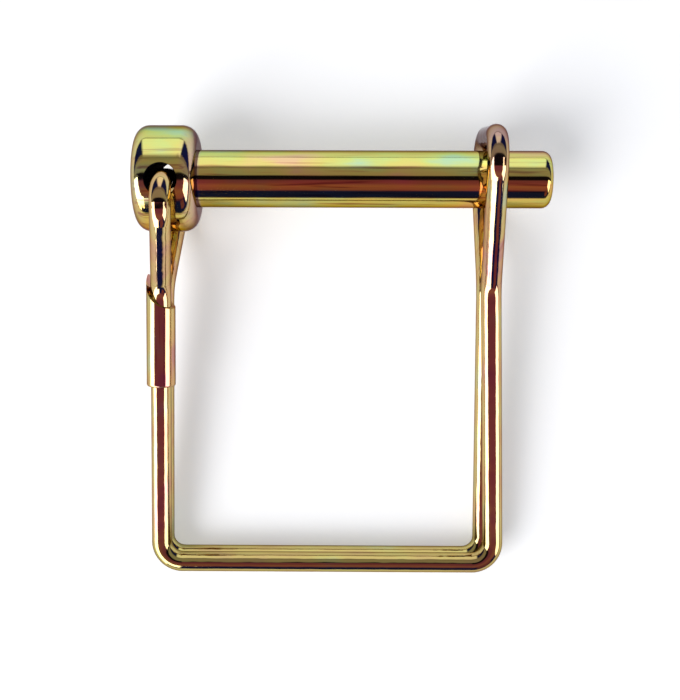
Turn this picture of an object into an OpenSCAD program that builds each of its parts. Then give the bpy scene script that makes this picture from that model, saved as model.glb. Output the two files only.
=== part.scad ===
// Wire lock pin: a headed clevis pin with a square double-strand spring wire bail.
// The bail turns in the head's cross hole and its far end hooks over the shank.
// +X runs along the shank to its tip, the origin is on its axis at the shoulder under the head,
// +Y points away from the bail and +Z is up with the closed pin lying on its bail.

/* [Shank] */
// Diameter of the shank
shank_d = 8; // [6:0.1:10]
// Length of the shank from the shoulder to the tip
shank_len = 49.2; // [46:0.2:60]
// Radius of the rounded edge at the tip
tip_r = 1.3; // [0.4:0.1:2]

/* [Head] */
// Diameter of the head
head_d = 14.8; // [13:0.2:18]
// Length of the head along the shank
head_len = 8.7; // [8:0.1:12]
// Radius of the rounded edge at the head's outer end
head_end_r = 2; // [1.5:0.1:2.5]
// Radius of the rounded edge beside the shoulder
shoulder_r = 2.2; // [0.8:0.1:2.4]
// Distance from the shoulder to the middle of the cross hole
cross_hole_x = 4.4; // [3.8:0.1:5]
// Clearance of the wire in the cross hole, on the radius
cross_hole_play = 0.8; // [0.7:0.05:1]

/* [Wire] */
// Diameter of the spring wire
wire_d = 2.9; // [2.4:0.1:3.1]
// Bend radius of the corners, to the middle of the wire
bend_r = 3; // [2.8:0.1:3.6]
// Bend radius where the two strands part, to the middle of the wire
part_r = 5; // [3:0.5:6]
// Gap between the two strands along the bottom run
strand_gap = 0.15; // [0.1:0.05:0.6]

/* [Bail] */
// Distance from the shank's axis to the bottom run
bail_len = 55.2; // [48:0.2:70]
// Distance from the shoulder to the hook
hook_x = 40.7; // [34:0.1:42]
// Gap between the hook and the top of the shank
hook_gap = 0.55; // [0.55:0.05:1.5]
// Bend radius of the hook's rear top corner, to the middle of the wire
hook_rear_r = 6; // [4:0.5:6.5]
// Distance from the shoulder to the wire in the cross hole
hinge_x = 4.2; // [3.9:0.1:4.8]
// Gap between the wire and the side of the head
head_gap = 0.35; // [0.3:0.05:0.8]
// Distance below the axis at which the hinge legs come together
hinge_part_y = 15.4; // [14:0.2:18]
// Distance below the axis at which the hook legs come together
hook_part_y = 15; // [13:0.5:18]
// How far the hinge legs lean out between the cross hole and where they come together
hinge_lean = 1.2; // [0:0.1:1.5]
// How far the hinge legs lean out from there to the bottom run
hinge_flare = 0.6; // [0:0.1:3]
// How far the front hook leg leans out by the bottom run
hook_flare = 1.4; // [0:0.1:3]
// How far the rear hinge leg stands outside the front one
rear_out = 0.1; // [0:0.1:0.8]
// How far the rear hook leg stands inside the front one
rear_in = 1.2; // [0:0.1:1.5]

/* [Ferrule] */
// Outer diameter of the ferrule
ferrule_d = 4.1; // [3.8:0.1:4.6]
// Length of the closed part of the ferrule
ferrule_len = 11; // [8:0.5:14]
// Radius of the scoop that opens the ferrule's mouth
scoop_r = 5.6; // [4.5:0.1:7]
// Turn of the tongue from the outer side of the bail towards its rear face
tongue_turn = 25; // [0:5:60]
// Clearance between the wire and the ferrule's bore, on the radius
ferrule_play = 0.05; // [0.03:0.01:0.1]
// Gap between the two wire ends inside the ferrule
butt_gap = 0.4; // [0.2:0.1:2]
// Radius of the ferrule's rounded lower edge
ferrule_edge_r = 0.3; // [0.1:0.05:0.4]

/* [Hidden] */
$fn = 64;

shank_r = shank_d / 2;
head_r = head_d / 2;
wire_r = wire_d / 2;
ferrule_r = ferrule_d / 2;

// how far the shank's blank reaches into the head, so that the two are one solid
root = 1;
// the closed mouth lies this far below the bend where the legs come together
mouth_drop = 2.8;
// clearance between the ferrule and the strand behind it
ferrule_gap = 0.08;
// wire swells this little where it is bent, and each straight runs this far into its bends
bend_swell = 0.01;
bend_lap = 0.05;

// half the distance between the strands' middles: along the bottom run, and at the ferrule
strand_z = (wire_d + strand_gap) / 2;
ferrule_low_y = hinge_part_y + mouth_drop + ferrule_len;
ferrule_z = (ferrule_r + wire_r + ferrule_gap) / 2;
leg_share = (bail_len - ferrule_low_y) / (bail_len - hinge_part_y);
hinge_part_z = strand_z + max(0, ferrule_z - strand_z) / leg_share;

// height of the hook's top and how far its wire and the hinge's wire stand out on each side
hook_y = shank_r + hook_gap + wire_r;
hinge_z = head_r + wire_r + head_gap;
// each top corner is followed by a slight bend, this far along the leg
lean_y = 1.6 * bend_r;
hook_rear_lean_y = hook_rear_r + lean_y - bend_r;

// The closed pin lies on three places of the wire: the rear bend beside the head, the rear
// bend of the hook and the rear bottom strand. The bail tilts by this angle about the shank,
// and the hook is as wide as it must be for the shank to lie level.
rise = hinge_z - bend_r - strand_z;
run = bail_len - bend_r;
rest_tilt = asin(bend_r / norm([rise, run])) + atan2(rise, run);
hook_z = hinge_z + (hook_y + lean_y - hook_rear_lean_y) * tan(rest_tilt);

// corners of the wire's middle line in the bail's own plane, for one strand: side is 1 or -1
function hinge_top(side) = [-hinge_x, 0, side * hinge_z];
function hinge_bend(side) = [-hinge_x, -lean_y, side * hinge_z];
function hinge_part(side) = [
    -hinge_x - hinge_lean - rear(side) * rear_out,
    -hinge_part_y,
    side * hinge_part_z
];
function hinge_corner(side) = [
    -hinge_x - hinge_lean - hinge_flare - rear(side) * rear_out,
    -bail_len,
    side * strand_z
];
function hook_corner(side) = [hook_x + hook_flare - rear(side) * rear_in, -bail_len, side * strand_z];
function hook_part(side) = [
    hook_x + (hook_flare - rear(side) * rear_in) * hook_part_y / bail_len,
    -hook_part_y,
    side * strand_z
];
function hook_bend(side) = [hook_x, hook_y - (side < 0 ? hook_rear_lean_y : lean_y), side * hook_z];
function hook_top(side) = [hook_x, hook_y, side * hook_z];
// 1 for the rear strand and 0 for the front one
function rear(side) = side < 0 ? 1 : 0;

function unit(v) = v / norm(v);
// the point of the front hinge leg at distance y below the shank's axis
function on_front_leg(y) = let (
    high = hinge_part(1),
    low = hinge_corner(1),
    share = (y - hinge_part_y) / (bail_len - hinge_part_y)
) high + (low - high) * share;

ferrule_axis = unit(hinge_part(1) - hinge_corner(1));
butt_y = ferrule_low_y - ferrule_len / 2;

// The whole wire, from one end inside the ferrule to the other. Each corner has its bend radius.
wire_path = [
    on_front_leg(butt_y - butt_gap / 2),
    hinge_part(1), hinge_bend(1), hinge_top(1),
    hinge_top(-1), hinge_bend(-1), hinge_part(-1),
    hinge_corner(-1), hook_corner(-1),
    hook_part(-1), hook_bend(-1), hook_top(-1),
    hook_top(1), hook_bend(1), hook_part(1),
    hook_corner(1), hinge_corner(1),
    on_front_leg(butt_y + butt_gap / 2)
];
wire_bends = [
    0,
    part_r, bend_r, bend_r,
    bend_r, bend_r, part_r,
    bend_r, bend_r,
    part_r, bend_r, hook_rear_r,
    bend_r, bend_r, part_r,
    bend_r, bend_r,
    0
];

function way(i) = unit(wire_path[i + 1] - wire_path[i]);
function turn(i) = acos(way(i - 1) * way(i));
function inward(i) = unit(way(i) - way(i - 1) * (way(i) * way(i - 1)));
// length of leg that the bend at corner i takes up on each side of it
function taken(i) = wire_bends[i] == 0 ? 0 : wire_bends[i] * tan(turn(i) / 2);
// how far a straight runs on into the bend at corner i
function lapped(i) = wire_bends[i] == 0 ? 0 : bend_lap;

// moves what lies at the origin to a point, with its X, Y and Z along the given directions
module frame_at(point, x, y, z) {
    multmatrix([
        [x[0], y[0], z[0], point[0]],
        [x[1], y[1], z[1], point[1]],
        [x[2], y[2], z[2], point[2]],
        [0, 0, 0, 1]
    ]) children();
}

// straight stretch of wire from corner i to the next one, between their bends
module wire_straight(i) {
    start = wire_path[i] + way(i) * (taken(i) - lapped(i));
    length = norm(wire_path[i + 1] - wire_path[i]) - taken(i) - taken(i + 1) + lapped(i) + lapped(i + 1);
    across = unit(cross(way(i), cross([0.1, 0.2, 1], way(i))));
    frame_at(start, across, cross(way(i), across), way(i)) cylinder(h = length, r = wire_r);
}

// bend of the wire at corner i
module wire_bend(i) {
    out = -inward(i);
    centre = wire_path[i] - way(i - 1) * taken(i) - out * wire_bends[i];
    frame_at(centre, out, way(i - 1), cross(out, way(i - 1)))
        rotate_extrude(angle = turn(i)) translate([wire_bends[i], 0]) circle(r = wire_r + bend_swell);
}

// half of a round bar's outline, with a rounded edge at each end
module bar_outline(r, from, to, from_r, to_r) {
    translate([0, from + from_r]) square([r, to - from - from_r - to_r]);
    translate([0, from]) square([r - from_r, from_r + root]);
    translate([0, to - to_r - root]) square([r - to_r, to_r + root]);
    if (from_r > 0) translate([r - from_r, from + from_r]) circle(r = from_r);
    if (to_r > 0) translate([r - to_r, to - to_r]) circle(r = to_r);
}

// lays the bail's own plane at the angle at which the closed pin rests
module as_it_rests() {
    rotate([rest_tilt, 0, 0]) children();
}

module pin() {
    color("goldenrod")
    difference() {
        rotate([0, 90, 0]) rotate_extrude() {
            bar_outline(head_r, -head_len, 0, head_end_r, shoulder_r);
            bar_outline(shank_r, -root, shank_len, 0, tip_r);
        }
        as_it_rests() translate([-cross_hole_x, 0, 0])
            cylinder(h = head_d + 2, r = wire_r + cross_hole_play, center = true);
    }
}

module wire_bail() {
    color("darkgoldenrod")
    as_it_rests() {
        for (i = [0 : len(wire_path) - 2]) wire_straight(i);
        for (i = [1 : len(wire_path) - 2]) wire_bend(i);
    }
}

module ferrule() {
    tongue = [-cos(tongue_turn), 0, -sin(tongue_turn)];
    across = unit(cross(ferrule_axis, tongue));
    color("khaki")
    as_it_rests() frame_at(on_front_leg(ferrule_low_y), cross(across, ferrule_axis), across, ferrule_axis)
        difference() {
            rotate_extrude()
                bar_outline(ferrule_r, 0, ferrule_len + scoop_r, ferrule_edge_r, 0);
            translate([0, 0, -1]) cylinder(h = ferrule_len + scoop_r + 2, r = wire_r + ferrule_play);
            translate([ferrule_r - scoop_r + ferrule_play, 0, ferrule_len + scoop_r])
                rotate([90, 0, 0]) cylinder(h = ferrule_d + 2, r = scoop_r, center = true);
        }
}

pin();
wire_bail();
ferrule();
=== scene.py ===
# %% [markdown]
# # A wire lock pin in yellow chromate
#
# The real object is a turned steel pin with a head, and a square bail bent from one length of
# spring wire. A short ferrule joins the two wire ends. All three are zinc plated and then dipped
# in a chromate bath, which leaves a thin golden skin with green and pink clouds in it.
#
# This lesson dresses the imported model. Its meshes carry the exact surface normals of the turned
# and bent solids, so they reflect cleanly and are kept. What is made here is the plating, the
# light that it reflects, the floor and the camera.

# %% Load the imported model
import math
from types import SimpleNamespace

import bpy
from mathutils import Matrix, Vector


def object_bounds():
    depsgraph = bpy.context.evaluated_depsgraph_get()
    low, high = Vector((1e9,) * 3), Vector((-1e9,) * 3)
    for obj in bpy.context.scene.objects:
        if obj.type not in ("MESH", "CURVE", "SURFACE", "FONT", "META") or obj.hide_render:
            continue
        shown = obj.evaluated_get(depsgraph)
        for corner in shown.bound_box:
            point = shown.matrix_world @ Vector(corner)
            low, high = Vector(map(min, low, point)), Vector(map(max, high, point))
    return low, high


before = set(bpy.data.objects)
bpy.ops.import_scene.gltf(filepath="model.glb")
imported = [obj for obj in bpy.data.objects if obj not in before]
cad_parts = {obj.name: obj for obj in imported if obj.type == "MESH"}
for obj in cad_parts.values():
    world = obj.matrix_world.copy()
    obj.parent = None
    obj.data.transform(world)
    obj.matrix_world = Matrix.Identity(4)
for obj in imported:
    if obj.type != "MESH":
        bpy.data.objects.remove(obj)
cad_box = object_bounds()
MM = 0.001
MICRON = MM / 1000
bpy.ops.object.select_all(action="DESELECT")
print("nodes:", sorted(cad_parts), "floor at z =", round(cad_box[0].z / MM, 2), "mm")

# %% [markdown]
# ## Helpers for materials
#
# A hex colour is how a colour is written on a screen. Shaders need it as linear light, so one
# function turns it. Another adds one shader node and fills its sockets. The rest build on that one,
# for the four kinds of node that are used most.

# %% Colour and node helpers
def linear(hex_colour):
    """Linear RGBA of an sRGB hex colour such as "#D8B55A"."""
    parts = [int(hex_colour[i:i + 2], 16) / 255 for i in (1, 3, 5)]
    light = [p / 12.92 if p <= 0.04045 else ((p + 0.055) / 1.055) ** 2.4 for p in parts]
    return (*light, 1)


def add_node(tree, kind, sockets=None, **properties):
    """A new node. Each socket gets a number, a hex colour, or a link from another socket."""
    node = tree.nodes.new(kind)
    for name, value in properties.items():
        setattr(node, name, value)
    for name, value in (sockets or {}).items():
        if isinstance(value, bpy.types.NodeSocket):
            tree.links.new(value, node.inputs[name])
        else:
            node.inputs[name].default_value = linear(value) if isinstance(value, str) else value
    return node


def calculate(tree, operation, *values):
    """What a sum makes of one or two values."""
    node = add_node(tree, "ShaderNodeMath", dict(enumerate(values)), operation=operation)
    return node.outputs["Value"]


def remap(tree, value, start, end, low=0.0, high=1.0):
    """low where a value is at start, high where it is at end, and even steps between."""
    sockets = {"Value": value, "From Min": start, "From Max": end, "To Min": low, "To Max": high}
    return add_node(tree, "ShaderNodeMapRange", sockets).outputs["Result"]


def ramp(tree, share, stops):
    """A colour for a share from 0 to 1. Each stop is a place and a hex colour."""
    node = add_node(tree, "ShaderNodeValToRGB", {"Fac": share})
    elements = node.color_ramp.elements
    while len(elements) < len(stops):
        elements.new(0.5)
    for element, (place, colour) in zip(elements, stops):
        element.position = place
        element.color = linear(colour)
    return node.outputs["Color"]


COLOUR_A, COLOUR_B, MIXED_COLOUR = 6, 7, 2  # a mix node has its colours at these sockets


def blend(tree, share, under, over, how="MIX"):
    """A node that lays this share of one colour over another."""
    return add_node(tree, "ShaderNodeMix", {"Factor": share, COLOUR_A: under, COLOUR_B: over},
                    data_type="RGBA", blend_type=how)


# %% [markdown]
# ## The plating
#
# Yellow chromate on bright zinc is a mirror-like metal with a thin tinted skin. The skin's
# thickness drifts over a few millimetres, and with it the tint goes from gold to yellow-green and
# to pink. Drawing leaves fine lines along the wire and the bar, and bending leaves the wire a
# little uneven, so that the bands it reflects waver.
#
# It is one metal shader. A cloudy noise drifts the tint, a noise drawn out along the piece adds the
# lines to the tint and to the bump, and a soft wave moves the normals, most of all on the wire.

# %% Plated metal
LINE_TINTS = [(0.32, "#A85080"), (0.39, "#F0D4DC"), (0.46, "#FFFFFF"), (0.66, "#FFFFFF"),
              (0.74, "#FFE8D8")]
WAVE_MM = 2.2                       # length of the unevenness that bending leaves
CLOUD_STRETCH, LINE_STRETCH = 3, 25
GLOSSIEST, DULLEST = 0.04, 0.10     # roughness at the two ends of the cloudy noise
EDGE_ON = "#9A858A"                 # tints the metal at grazing angles


def plated_metal(name, along, turn, cloud_mm, line_mm, line_um, line_share, wave_um, tints):
    """Yellow chromate on zinc, as a material and the nodes that a piece may add to.

    along names the axes that the drawn lines follow, after a turn about X in degrees.
    """
    material = bpy.data.materials.new(name)
    material.use_nodes = True
    tree = material.node_tree
    tree.nodes.clear()
    place = add_node(tree, "ShaderNodeTexCoord")
    turned = add_node(tree, "ShaderNodeMapping", {
        "Vector": place.outputs["Object"], "Rotation": (math.radians(turn), 0, 0)})

    def noise(size_mm, drawn_out, detail):
        """Noise with spots of this size, drawn out this many times along the piece."""
        stretch = [1 / drawn_out if axis in along else 1 for axis in "XYZ"]
        spread = add_node(tree, "ShaderNodeMapping", {
            "Vector": turned.outputs["Vector"], "Scale": stretch})
        spots = add_node(tree, "ShaderNodeTexNoise", {
            "Vector": spread.outputs["Vector"], "Scale": 1 / (size_mm * MM), "Detail": detail})
        return spots.outputs["Fac"]

    clouds = noise(cloud_mm, CLOUD_STRETCH, 3)
    lines = noise(line_mm, LINE_STRETCH, 2)
    wave = noise(WAVE_MM, 1, 1)
    skin = blend(tree, line_share, ramp(tree, clouds, tints), ramp(tree, lines, LINE_TINTS),
                 "MULTIPLY")
    waved = add_node(tree, "ShaderNodeBump", {"Distance": wave_um * MICRON, "Height": wave})
    drawn = add_node(tree, "ShaderNodeBump", {
        "Distance": line_um * MICRON, "Height": lines, "Normal": waved.outputs["Normal"]})
    gloss = remap(tree, clouds, 0.0, 1.0, GLOSSIEST, DULLEST)
    metal = add_node(tree, "ShaderNodeBsdfPrincipled", {
        "Metallic": 1.0,
        "Specular Tint": EDGE_ON,
        "Base Color": skin.outputs[MIXED_COLOUR],
        "Roughness": gloss,
        "Normal": drawn.outputs["Normal"],
    })
    add_node(tree, "ShaderNodeOutputMaterial", {"Surface": metal.outputs["BSDF"]})
    print("material:", name)
    return SimpleNamespace(material=material, tree=tree, place=place, skin=skin, gloss=gloss,
                           metal=metal)


def dress(node, plating):
    """Gives a CAD node its material in every slot."""
    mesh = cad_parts[node].data
    mesh.materials.clear()
    mesh.materials.append(plating.material)


# %% Three platings
# The turned bar has the thicker, greener skin and its lines run along X. The bail lies at an
# angle to the bar, so the lines of the wire and the tube are turned with it.
GOLD = [(0.30, "#BC8C80"), (0.40, "#C8A278"), (0.50, "#CCB078"), (0.60, "#C8B87C"),
        (0.74, "#B8C09C")]
GREEN_GOLD = [(0.30, "#DCBC94"), (0.40, "#D8C880"), (0.50, "#D0CE78"), (0.60, "#C4D484"),
              (0.72, "#B0D2AC")]
REST_TILT = 8.399       # degrees that the closed bail is turned about X
BAR_LINE_SHARE = 0.7
bar = plated_metal("chromate_on_turned_steel", along="X", turn=0, cloud_mm=3.5, line_mm=0.5,
                   line_um=7, line_share=BAR_LINE_SHARE, wave_um=4, tints=GREEN_GOLD)
wire = plated_metal("chromate_on_drawn_wire", along="XY", turn=-REST_TILT, cloud_mm=2.5,
                    line_mm=0.5, line_um=5, line_share=0.2, wave_um=60, tints=GOLD)
tube = plated_metal("chromate_on_tube", along="Y", turn=-REST_TILT, cloud_mm=2.5, line_mm=0.4,
                    line_um=4, line_share=0.4, wave_um=20, tints=GOLD)
dress("pin", bar)
dress("wire_bail", wire)
dress("ferrule", tube)

# %% The wire's tints and its painted reflection
# The wire is painted greyer where it is bent over the shank, a painted reflection of the shaded
# floor, and it is mixed toward olive along the bottom run.
BEND_FROM, BEND_TO = 0.5 * MM, 4.5 * MM
RUN_FROM, RUN_TO = -49 * MM, -53 * MM
wire_xyz = add_node(wire.tree, "ShaderNodeSeparateXYZ", {"Vector": wire.place.outputs["Object"]})
# painted reflection: a grey share over the bend stands for the shaded floor that the metal reflects
# there
bend_reflection_share = remap(wire.tree, wire_xyz.outputs["Y"], BEND_FROM, BEND_TO, high=0.6)
painted_grey_reflection = blend(wire.tree, bend_reflection_share, wire.skin.outputs[MIXED_COLOUR], "#9C8C84")
low_run = remap(wire.tree, wire_xyz.outputs["Y"], RUN_FROM, RUN_TO, high=0.5)
olive = blend(wire.tree, low_run, painted_grey_reflection.outputs[MIXED_COLOUR], "#A8A458")
wire.tree.links.new(olive.outputs[MIXED_COLOUR], wire.metal.inputs["Base Color"])
print("wire greyed above", BEND_FROM / MM, "mm, olive below", RUN_FROM / MM, "mm")

# %% The pin's painted reflection tints
# The tint goes from pink-gold at the lower side to yellow-green at the upper side and lilac at the
# top, by the height
# above the axis as a share of the radius: painted reflections of what each side faces. The rounded
# edges of the head are lilac, a painted reflection of the pinkish grey that the metal shows at
# grazing angles.
HEAD_R, SHANK_R = 7.4 * MM, 4.0 * MM
HEAD_LEN = 8.7 * MM
SHOULDER_FROM = -0.6 * MM       # the radius goes over from the head's to the shank's from here to 0
# painted reflection tints, from the lower side of the bar to its upper side
SIDE_REFLECTION_TINTS = [(0.0, "#F0D4B0"), (0.3, "#FCDCC8"), (0.55, "#FFE4E0"), (0.7, "#FFF8F4"),
               (0.9, "#F6FFF6"), (0.97, "#D8C0D0")]
# where along the pin the rims get their lilac painted reflection
RIM_REFLECTION_SHARES = [(0.02, "#A0A0A0"), (0.11, "#000000"), (0.38, "#000000"), (0.46, "#B0B0B0"),
               (0.50, "#E0E0E0"), (0.53, "#000000")]
tree = bar.tree
xyz = add_node(tree, "ShaderNodeSeparateXYZ", {"Vector": bar.place.outputs["Object"]})
radius = remap(tree, xyz.outputs["X"], SHOULDER_FROM, 0.0, HEAD_R, SHANK_R)
up = calculate(tree, "DIVIDE", xyz.outputs["Y"], radius)
# painted reflection: each side of the bar is tinted like what it reflects
side_reflection_tint = ramp(tree, remap(tree, up, -1.0, 1.0), SIDE_REFLECTION_TINTS)
side_reflection_tinted = blend(tree, 1.0, bar.skin.outputs[MIXED_COLOUR], side_reflection_tint, "MULTIPLY")
rim_reflection_share = ramp(tree, remap(tree, xyz.outputs["X"], -HEAD_LEN, HEAD_LEN), RIM_REFLECTION_SHARES)
# painted reflection: the head's rims are mixed toward lilac
rim_reflection_tinted = blend(tree, rim_reflection_share, side_reflection_tinted.outputs[MIXED_COLOUR], "#B89CA2")
print("tints go round a head of", HEAD_R / MM, "mm and a shank of", SHANK_R / MM, "mm radius")

# %% The pin's drawn lines
# They end where the bar was cut off, so its end faces have none. They show less on the upper side.
facing = add_node(tree, "ShaderNodeSeparateXYZ", {"Vector": bar.place.outputs["Normal"]})
end_on = calculate(tree, "ABSOLUTE", facing.outputs["X"])
on_the_side = remap(tree, end_on, 0.5, 0.95, BAR_LINE_SHARE, 0.0)
below = remap(tree, up, 0.2, 0.5, 1.0, 0.3)
tree.links.new(calculate(tree, "MULTIPLY", on_the_side, below), bar.skin.inputs["Factor"])
print("lines tint the bar by", BAR_LINE_SHARE, "at most")

# %% The pin's bore
# The inside of the cross hole through the head is painted near black, as painted shade, and is
# dull.
BORE_R, HOLE_X = 2.27 * MM, -4.4 * MM
# painted shade: the near black of the bore's wall
BORE_PAINTED_SHADE, BORE_ROUGHNESS = "#0E0E1E", 0.9
from_hole = add_node(tree, "ShaderNodeMapping", {
    "Vector": bar.place.outputs["Object"],
    "Rotation": (math.radians(-REST_TILT), 0, 0),
    "Location": (-HOLE_X, 0, 0),
})
flat = add_node(tree, "ShaderNodeVectorMath", {0: from_hole.outputs["Vector"], 1: (1, 1, 0)},
                operation="MULTIPLY")
reach = add_node(tree, "ShaderNodeVectorMath", {0: flat.outputs["Vector"]}, operation="LENGTH")
in_bore = calculate(tree, "LESS_THAN", reach.outputs["Value"], BORE_R)
# painted shade: the bore's wall takes the near black colour
bore_shade_painted = blend(tree, in_bore, rim_reflection_tinted.outputs[MIXED_COLOUR], BORE_PAINTED_SHADE)
tree.links.new(bore_shade_painted.outputs[MIXED_COLOUR], bar.metal.inputs["Base Color"])
gloss = remap(tree, in_bore, 0.0, 1.0, bar.gloss, BORE_ROUGHNESS)
tree.links.new(gloss, bar.metal.inputs["Roughness"])
print("bore of", 2 * BORE_R / MM, "mm at x =", HOLE_X / MM, "mm")

# %% [markdown]
# ## The floor
#
# A sheet of white paper. Its light comes from two parts: the paper's own shading, which carries
# the shadow, and a share that only the camera, reflections and glass see, which lifts it to white.

# %% Floor
FLOOR_SIZE = 4.0
FLOOR_LIFT = 0.34
bpy.ops.mesh.primitive_plane_add(size=FLOOR_SIZE)
floor = bpy.context.object
floor.name = "paper_floor"
bpy.ops.transform.translate(value=(0, 0, cad_box[0].z))
bpy.ops.object.transform_apply(location=True, rotation=True, scale=True)
paper = bpy.data.materials.new("white_paper")
paper.use_nodes = True
sheet = paper.node_tree
sheet.nodes.clear()
ray = add_node(sheet, "ShaderNodeLightPath")
camera_or_gloss = calculate(sheet, "MAXIMUM", ray.outputs["Is Camera Ray"],
                            ray.outputs["Is Glossy Ray"])
looked_at = calculate(sheet, "MAXIMUM", camera_or_gloss, ray.outputs["Is Transmission Ray"])
shading = add_node(sheet, "ShaderNodeBsdfDiffuse", {"Color": "#F3F3F5"})
glow = add_node(sheet, "ShaderNodeEmission", {
    "Color": "#FFFFFF", "Strength": calculate(sheet, "MULTIPLY", looked_at, FLOOR_LIFT)})
lifted = add_node(sheet, "ShaderNodeAddShader", {
    0: shading.outputs["BSDF"], 1: glow.outputs["Emission"]})
add_node(sheet, "ShaderNodeOutputMaterial", {"Surface": lifted.outputs["Shader"]})
floor.data.materials.append(paper)
print("floor:", floor.name, FLOOR_SIZE, "m, lifted by", FLOOR_LIFT)

# %% [markdown]
# ## The light
#
# One large soft lamp stands high at the front left and throws the soft shadow to the right and
# back. Reflections don't see it, because what the metal reflects is laid out in the room below.

# %% Soft lamp
KEY_AZIMUTH, KEY_ELEVATION = math.radians(-127), math.radians(46)  # azimuth 0 is +Y, 90 is +X
KEY_SIZE, KEY_DISTANCE = 1.8, 3.0
KEY_RADIANCE = 6.8
to_lamp = Vector((math.sin(KEY_AZIMUTH) * math.cos(KEY_ELEVATION),
                  math.cos(KEY_AZIMUTH) * math.cos(KEY_ELEVATION),
                  math.sin(KEY_ELEVATION)))
middle = (cad_box[0] + cad_box[1]) / 2
bpy.ops.object.light_add(type="AREA", location=middle + to_lamp * KEY_DISTANCE)
key = bpy.context.object
key.name = "key_box"
key.rotation_euler = to_lamp.to_track_quat("Z", "Y").to_euler()
key.data.shape = "RECTANGLE"
key.data.size = key.data.size_y = KEY_SIZE
key.data.energy = KEY_RADIANCE * math.pi * KEY_SIZE * KEY_SIZE
key.visible_glossy = False
print(key.name, "gives", round(key.data.energy, 2), "W")

# %% [markdown]
# ## The room
#
# Mirror-like metal shows the room round it, so the room is laid out by what it draws. Bright white
# panels stand low at the left and at the right of the front, with a small red-brown one between
# them. A dimmer white one stands behind, and a pale grey band runs all round at the horizon.
# Overhead the room goes from navy at the front over red-brown and black to grey, and to navy again
# behind. Only reflections see it. The camera sees a white backdrop, and all else gets plain light.

# %% Angles in the room
world = bpy.data.worlds.new("dim_room")
bpy.context.scene.world = world
world.use_nodes = True
room = world.node_tree
room.nodes.clear()
direction = add_node(room, "ShaderNodeTexCoord")
split = add_node(room, "ShaderNodeSeparateXYZ", {"Vector": direction.outputs["Generated"]})
right, back, up_there = (split.outputs[axis] for axis in "XYZ")
front = calculate(room, "MULTIPLY", back, -1)


def degrees(function, *values):
    """The angle in degrees that a function of one or two values gives."""
    return calculate(room, "DEGREES", calculate(room, function, *values))


height = degrees("ARCSINE", up_there)             # 0 is level, 90 straight up
from_front = degrees("ARCTAN2", right, front)     # 0 is -Y, 90 is +X
from_back = degrees("ARCTAN2", right, back)       # 0 is +Y, 90 is +X
tilt = degrees("ARCTAN2", back, up_there)         # 0 is straight up, 90 is +Y
print("room:", world.name)


# %% Panels in the room
def between(value, low, high, soft):
    """1 where a value lies between two angles, with soft edges this many degrees wide."""
    rise = remap(room, value, low - soft / 2, low + soft / 2)
    fall = remap(room, value, high - soft / 2, high + soft / 2, 1.0, 0.0)
    return calculate(room, "MULTIPLY", rise, fall)


def panel(behind, colour, strength, around, heights, soft=2.0):
    """A panel of one colour over what is behind it. around is a value with two angles."""
    value, start, end = around
    inside = calculate(room, "MULTIPLY", between(value, start, end, soft),
                       between(height, *heights, soft))
    lit = [channel * strength for channel in linear(colour)[:3]] + [1]
    return blend(room, inside, behind, lit).outputs[MIXED_COLOUR]


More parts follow.
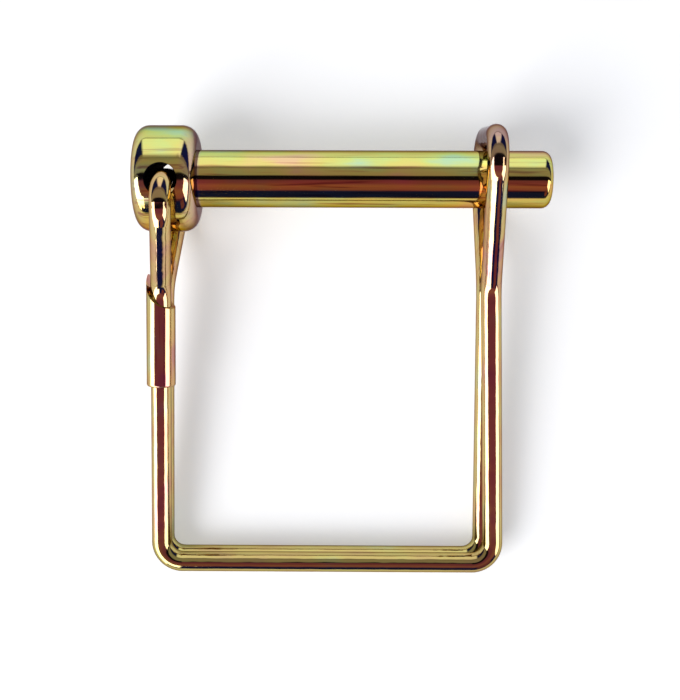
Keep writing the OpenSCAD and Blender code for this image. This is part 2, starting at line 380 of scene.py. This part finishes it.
# %% Room
NAVY, BLACK = "#182068", "#14101E"
OVERHEAD = [(-57, NAVY), (-53, "#8F5468"), (-36, "#A06868"), (-23, "#884868"), (-13, "#804464"),
            (-9, BLACK), (4, BLACK), (8, "#A39F98"), (32, "#A8A49C"), (38, "#8A8480"),
            (44, "#8A8480"), (46, NAVY)]
seen = ramp(room, remap(room, tilt, -180.0, 180.0),
            [((angle + 180) / 360, colour) for angle, colour in OVERHEAD])
seen = panel(seen, "#854A55", 1.0, (from_front, 13, 36), (12, 31))
seen = panel(seen, "#EEEEFF", 5.4, (from_front, -88, -30), (3, 15))
seen = panel(seen, "#EEEEFF", 5.4, (from_front, -88, -12), (15, 38))
seen = panel(seen, "#F6EEFF", 4.0, (from_front, 48, 84), (10, 43))
seen = panel(seen, "#FFFFFF", 1.3, (from_back, -23, 23), (-30, 46), soft=8.0)
seen = panel(seen, "#C8C4C0", 1.0, (from_back, -180, 180), (-30, 3))
print("nodes in the room:", len(room.nodes))

# %% What each kind of ray sees of the world
PLAIN_LIGHT = 0.33


def background(colour, strength):
    """A light from all sides."""
    node = add_node(room, "ShaderNodeBackground", {"Color": colour, "Strength": strength})
    return node.outputs["Background"]


kind = add_node(room, "ShaderNodeLightPath")
for_gloss = add_node(room, "ShaderNodeMixShader", {
    "Fac": kind.outputs["Is Glossy Ray"],
    1: background("#F0F5FF", PLAIN_LIGHT),
    2: background(seen, 1.0),
})
camera_or_glass = calculate(room, "MAXIMUM", kind.outputs["Is Camera Ray"],
                            kind.outputs["Is Transmission Ray"])
for_camera = add_node(room, "ShaderNodeMixShader", {
    "Fac": camera_or_glass, 1: for_gloss.outputs["Shader"], 2: background("#FFFFFF", 1.0)})
add_node(room, "ShaderNodeOutputWorld", {"Surface": for_camera.outputs["Shader"]})
print("plain light:", PLAIN_LIGHT)

# %% [markdown]
# ## The camera
#
# It looks down from about 170 mm above the shank's axis, over the middle of the bail.

# %% Camera
LONG_SIDE_PX = 700
FOCAL_PX = 1209
SENSOR_MM = 36
EYE = Vector((21.07, -23.66, 169.57)) * MM
AIM = Vector((19.85, -23.96, 0.0)) * MM
ROLL = math.radians(0.235)
NEAREST = 10 * MM
bpy.ops.object.camera_add(location=EYE)
camera = bpy.context.object
camera.name = "camera"
backwards = (EYE - AIM).normalized()
rightwards = Vector((0, 1, 0)).cross(backwards).normalized()
upwards = backwards.cross(rightwards)
level = Matrix((rightwards, upwards, backwards)).transposed()
camera.rotation_mode = "QUATERNION"
camera.rotation_quaternion = (level @ Matrix.Rotation(ROLL, 3, "Z")).to_quaternion()
bpy.ops.object.select_all(action="DESELECT")
camera.data.sensor_width = SENSOR_MM
camera.data.lens = SENSOR_MM * FOCAL_PX / LONG_SIDE_PX
camera.data.clip_start = NEAREST
bpy.context.scene.camera = camera
bpy.context.scene.view_settings.view_transform = "Standard"
print("camera with a lens of", round(camera.data.lens, 1), "mm")
